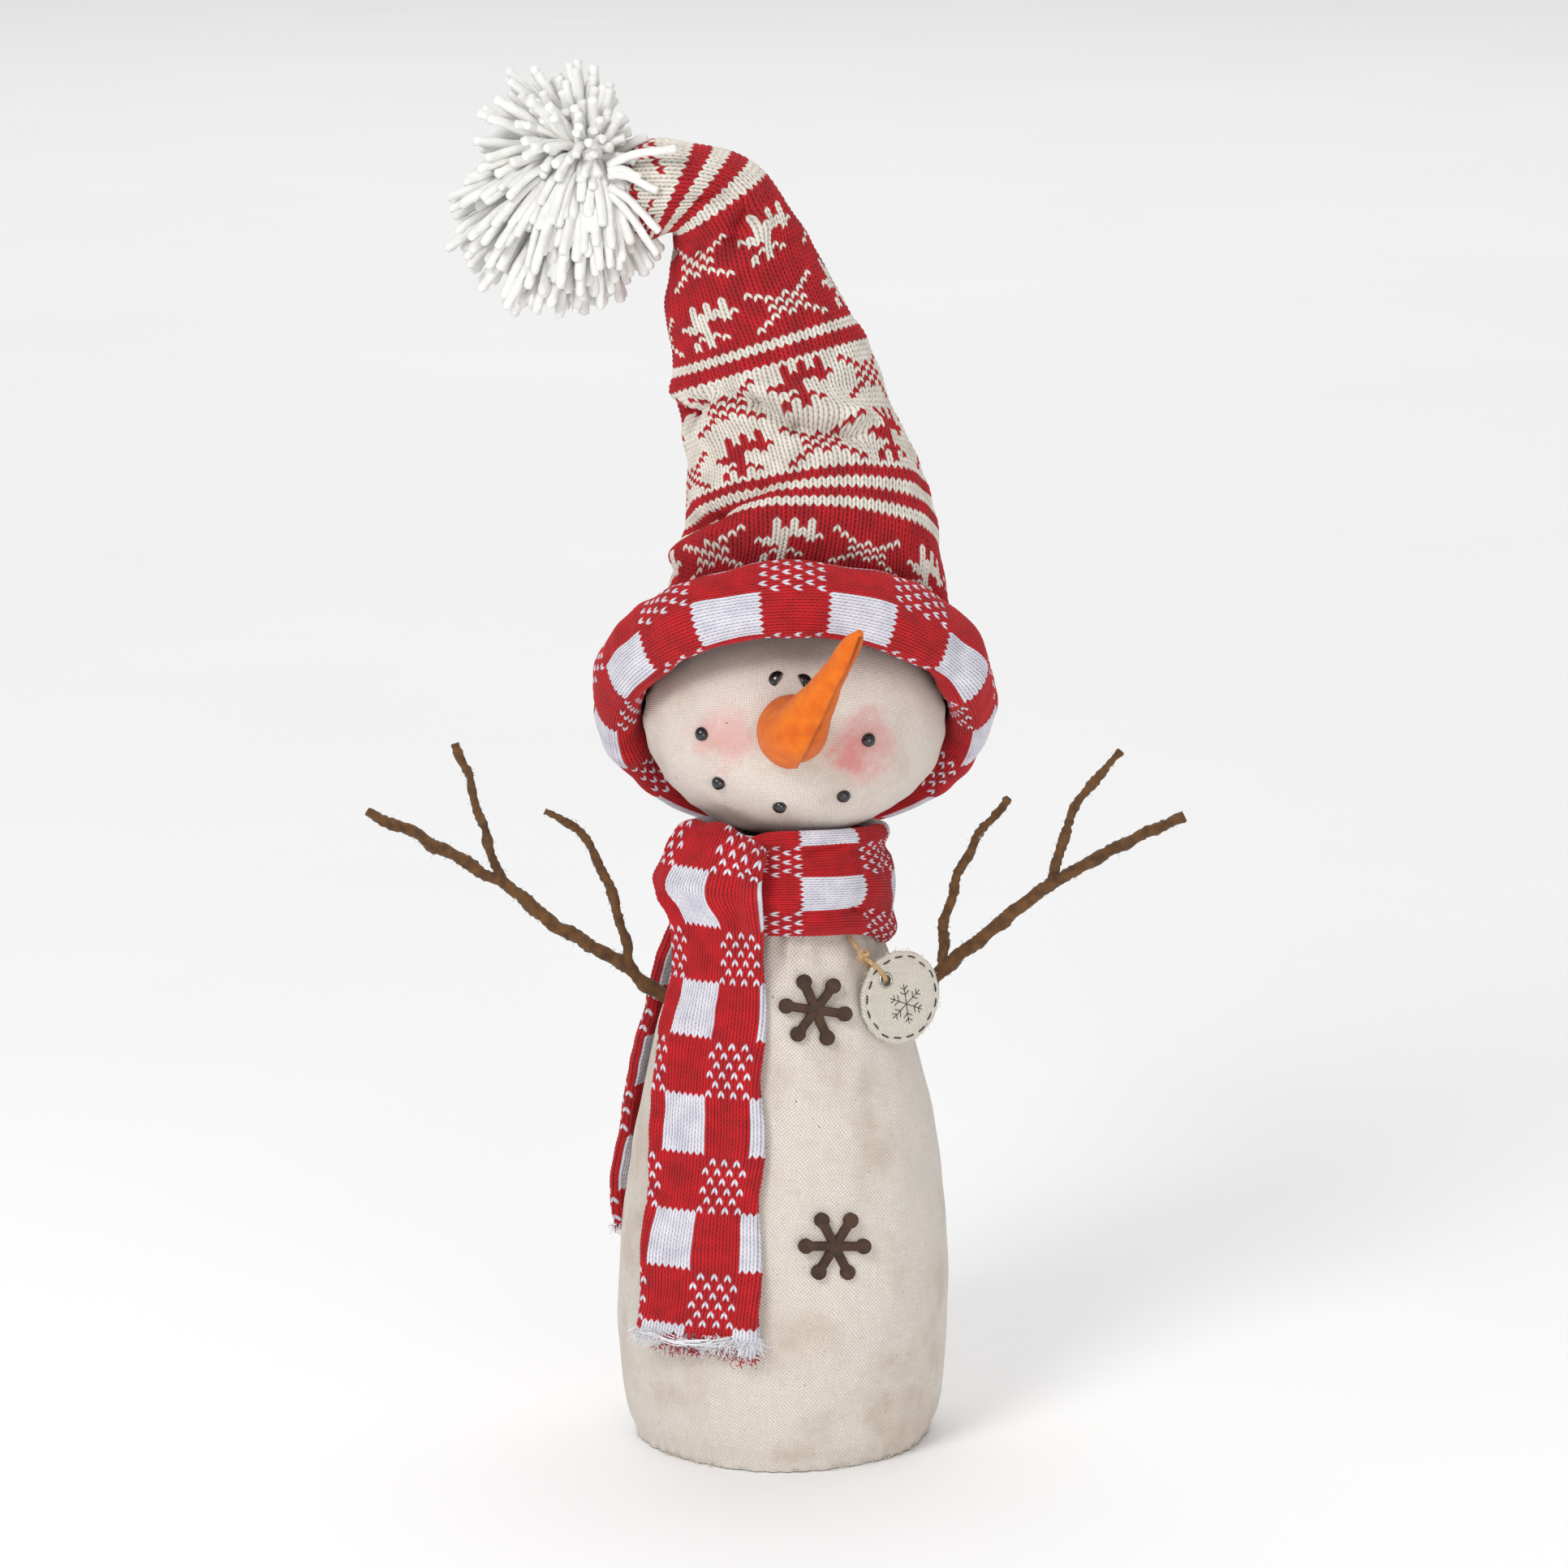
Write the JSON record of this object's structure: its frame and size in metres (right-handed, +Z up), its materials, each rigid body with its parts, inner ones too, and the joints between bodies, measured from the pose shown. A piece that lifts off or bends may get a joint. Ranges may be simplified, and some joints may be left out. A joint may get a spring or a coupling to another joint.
{
  "type": "fabric snowman figure",
  "caption": "Stuffed canvas snowman figure on a weighted flat base, with a knitted stocking hat, a check scarf, bendable twig arms and a canvas tag",
  "frame": {"origin": "centre of the underside of the round base, on the surface that the figure stands on", "axes": "+Z up along the figure, the face looks towards -Y, +X to the viewer's right"},
  "size_m": [0.2977, 0.1422, 0.5045],
  "materials": {
    "canvas": "tea-stained cotton canvas",
    "stuffing": "polyester fibre stuffing",
    "board": "plain grey-brown board",
    "weight_pellets": "cloth bag of sand or pellets",
    "bead": "glossy black",
    "orange_felt": "orange wool felt",
    "hat_knit": "red and cream jacquard knit",
    "scarf_knit": "red and white check knit",
    "yarn": "white soft yarn",
    "rusty_metal": "rusted dark brown",
    "brown_felt": "brown fibre wound on wire",
    "steel_wire": "plain steel wire",
    "eyelet_metal": "bright nickel",
    "jute": "natural jute twine"
  },
  "bodies": {
    "snowman": {"base_cover": "canvas", "body_cover": "canvas", "head_cover": "canvas", "body_filling": "stuffing", "head_filling": "stuffing", "nose_filling": "stuffing", "hat_filling": "stuffing", "hat_brim_filling": "stuffing", "base_board": "board", "weight_bag": "weight_pellets", "eye_left": "bead", "eye_right": "bead", "mouth_bead_1": "bead", "mouth_bead_2": "bead", "mouth_bead_3": "bead", "mouth_bead_4": "bead", "mouth_bead_5": "bead", "nose_cover": "orange_felt", "hat_crown": "hat_knit", "hat_brim": "scarf_knit", "scarf_wrap": "scarf_knit", "scarf_front_fold": "scarf_knit", "snowflake_button_upper": "rusty_metal", "snowflake_button_lower": "rusty_metal", "hat_wire": "steel_wire", "arm_left_root_wire": "steel_wire", "arm_right_root_wire": "steel_wire"},
    "arm_left": {"arm_left_twig": "brown_felt", "arm_left_wire": "steel_wire"},
    "arm_left_inner": {"arm_left_inner_branch_twig": "brown_felt", "arm_left_inner_branch_wire": "steel_wire"},
    "arm_left_outer": {"arm_left_outer_branch_twig": "brown_felt", "arm_left_outer_branch_wire": "steel_wire"},
    "arm_right": {"arm_right_twig": "brown_felt", "arm_right_wire": "steel_wire"},
    "arm_right_inner": {"arm_right_inner_branch_twig": "brown_felt", "arm_right_inner_branch_wire": "steel_wire"},
    "arm_right_outer": {"arm_right_outer_branch_twig": "brown_felt", "arm_right_outer_branch_wire": "steel_wire"},
    "hat_end": {"hat_tip": "hat_knit", "hat_tip_filling": "stuffing", "hat_tip_wire": "steel_wire"},
    "pompom_ball": {"pompom": "yarn", "pompom_tie": "yarn"},
    "front_tail": {"scarf_front_tail": "scarf_knit"},
    "back_tail": {"scarf_back_tail": "scarf_knit"},
    "twine": {"tag_twine": "jute", "tag_knot": "jute"},
    "tag": {"tag_front": "canvas", "tag_back": "canvas", "tag_eyelet": "eyelet_metal"}
  },
  "joints": [
    {"name": "left_shoulder_bend", "type": "hinge", "parent": "snowman", "child": "arm_left", "pos_m": [-0.0476, -0.004, 0.168], "axis": [0, 1, 0], "range_deg": [-40, 8]},
    {"name": "left_inner_branch_bend", "type": "hinge", "parent": "arm_left", "child": "arm_left_inner", "pos_m": [-0.0568, -0.004, 0.1806], "axis": [0, 1, 0], "range_deg": [-25, 15]},
    {"name": "left_outer_branch_bend", "type": "hinge", "parent": "arm_left", "child": "arm_left_outer", "pos_m": [-0.1034, -0.005, 0.2125], "axis": [0, 1, 0], "range_deg": [-20, 25]},
    {"name": "right_shoulder_bend", "type": "hinge", "parent": "snowman", "child": "arm_right", "pos_m": [0.0472, -0.002, 0.1666], "axis": [0, -1, 0], "range_deg": [-40, 8]},
    {"name": "right_inner_branch_bend", "type": "hinge", "parent": "arm_right", "child": "arm_right_inner", "pos_m": [0.0574, -0.002, 0.18], "axis": [0, -1, 0], "range_deg": [-25, 15]},
    {"name": "right_outer_branch_bend", "type": "hinge", "parent": "arm_right", "child": "arm_right_outer", "pos_m": [0.0984, -0.004, 0.213], "axis": [0, -1, 0], "range_deg": [-25, 25]},
    {"name": "hat_fold_bend", "type": "hinge", "parent": "snowman", "child": "hat_end", "pos_m": [-0.0388, 0, 0.4446], "axis": [0, 1, 0], "range_deg": [-22, 8]},
    {"name": "pompom_swing", "type": "hinge", "parent": "hat_end", "child": "pompom_ball", "pos_m": [-0.057, 0, 0.46], "axis": [0, 1, 0], "range_deg": [-6, 18]},
    {"name": "front_tail_lift", "type": "hinge", "parent": "snowman", "child": "front_tail", "pos_m": [-0.0275, -0.0346, 0.1972], "axis": [-0.8652, 0.5015, 0], "range_deg": [0, 75]},
    {"name": "back_tail_lift", "type": "hinge", "parent": "snowman", "child": "back_tail", "pos_m": [-0.0329, 0.0262, 0.1875], "axis": [0.6225, 0.7826, 0], "range_deg": [0, 60]},
    {"name": "twine_lift", "type": "hinge", "parent": "snowman", "child": "twine", "pos_m": [0.0236, -0.0276, 0.1932], "axis": [-0.8189, -0.5739, 0], "range_deg": [0, 60]},
    {"name": "tag_turn", "type": "hinge", "parent": "twine", "child": "tag", "pos_m": [0.03605, -0.0301, 0.1782], "axis": [0.5706, -0.8145, 0.1049], "range_deg": [-8, 16]}
  ]
}
